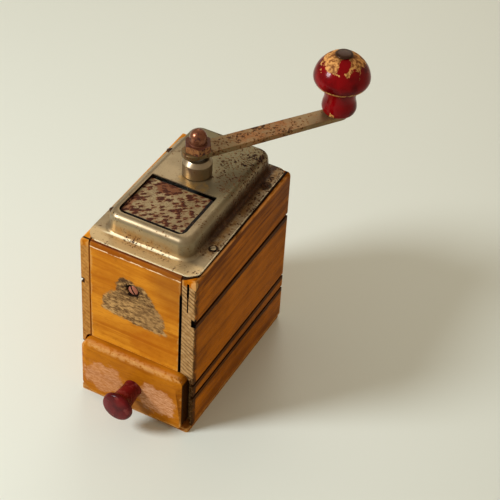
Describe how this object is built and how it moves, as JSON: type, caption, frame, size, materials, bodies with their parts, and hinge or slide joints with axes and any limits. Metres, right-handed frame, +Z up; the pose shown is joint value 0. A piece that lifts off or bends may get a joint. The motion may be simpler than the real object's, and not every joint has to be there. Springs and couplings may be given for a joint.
{
  "type": "box coffee grinder",
  "caption": "Old hand coffee grinder: a narrow wooden box with a drawer, a pressed metal cover with a sprung bean lid, and a crank with a turned red knob.",
  "frame": {"origin": "centre of the box's underside, on the surface that it stands on", "axes": "+Z up; the drawer faces -Y; +X is on the right seen from the drawer's side"},
  "size_m": [0.1115, 0.1986, 0.2018],
  "materials": {
    "wood_varnished": "worn honey varnish",
    "wood_plain": "bare",
    "nickel_plate": "worn nickel plate with rust spots",
    "rusty_steel": "dull, rust speckled",
    "browned_steel": "browned",
    "bright_steel": "plain",
    "burr_iron": "hardened",
    "red_paint": "glossy deep red, chipped",
    "maroon_paint": "worn dark maroon"
  },
  "bodies": {
    "case": {"base_board": "wood_varnished", "base_nail_1": "bright_steel", "base_nail_2": "bright_steel", "base_nail_3": "bright_steel", "base_nail_4": "bright_steel", "side_board_left": "wood_varnished", "side_board_right": "wood_varnished", "front_panel": "wood_varnished", "back_panel": "wood_varnished", "panel_screw": "browned_steel", "mill_shelf": "wood_plain", "top_cover": "nickel_plate", "cover_screw_1": "nickel_plate", "cover_screw_2": "nickel_plate", "cover_screw_3": "nickel_plate", "cover_screw_4": "nickel_plate", "lid_hinge_pin": "bright_steel", "lid_spring": "bright_steel", "hopper_funnel": "bright_steel", "upper_bearing_bush": "nickel_plate", "outer_burr": "burr_iron", "burr_screw_1": "bright_steel", "burr_screw_2": "bright_steel", "burr_screw_3": "bright_steel", "bridge_bar": "bright_steel", "bridge_screw_1": "bright_steel", "bridge_screw_2": "bright_steel"},
    "drawer": {"drawer_front": "wood_varnished", "drawer_side_left": "wood_plain", "drawer_side_right": "wood_plain", "drawer_bottom": "wood_plain", "drawer_back": "wood_plain", "drawer_knob": "maroon_paint", "drawer_knob_screw": "bright_steel"},
    "lid": {"bean_lid": "rusty_steel"},
    "thrust": {"thrust_pin": "bright_steel"},
    "adjuster": {"adjusting_wheel": "bright_steel"},
    "crank": {"spindle": "bright_steel", "inner_burr": "burr_iron", "cone_pin": "bright_steel", "crank_arm": "rusty_steel", "acorn_nut": "browned_steel", "knob_pin": "rusty_steel"},
    "knob": {"crank_knob": "red_paint"}
  },
  "joints": [
    {"name": "drawer_slide", "type": "slide", "parent": "case", "child": "drawer", "axis": [0, -1, 0], "range_m": [0, 0.085]},
    {"name": "lid_hinge", "type": "hinge", "parent": "case", "child": "lid", "pos_m": [-0.0024, -0.0433, 0.134], "axis": [-1, 0, 0], "range_deg": [0, 50], "stiffness_Nm_per_rad": 0.02, "springref_deg": -17.19, "deforming": ["lid_spring"]},
    {"name": "adjust_turn", "type": "hinge", "parent": "thrust", "child": "adjuster", "pos_m": [-0.0018, 0.0132, 0.041], "axis": [0, 0, 1], "range_deg": [-180, 180]},
    {"name": "thrust_lift", "type": "slide", "parent": "case", "child": "thrust", "axis": [0, 0, 1], "range_m": [-0.0005, 0.0005]},
    {"name": "crank_turn", "type": "hinge", "parent": "thrust", "child": "crank", "pos_m": [-0.0018, 0.0132, 0.15], "axis": [0, 0, 1], "continuous": true},
    {"name": "knob_spin", "type": "hinge", "parent": "crank", "child": "knob", "pos_m": [0.05401, 0.0929, 0.16], "axis": [0, 0, 1], "continuous": true}
  ],
  "couplings": [
    {"joint": "adjust_turn", "follows": "thrust_lift", "rad_per_m": 6283.2}
  ]
}
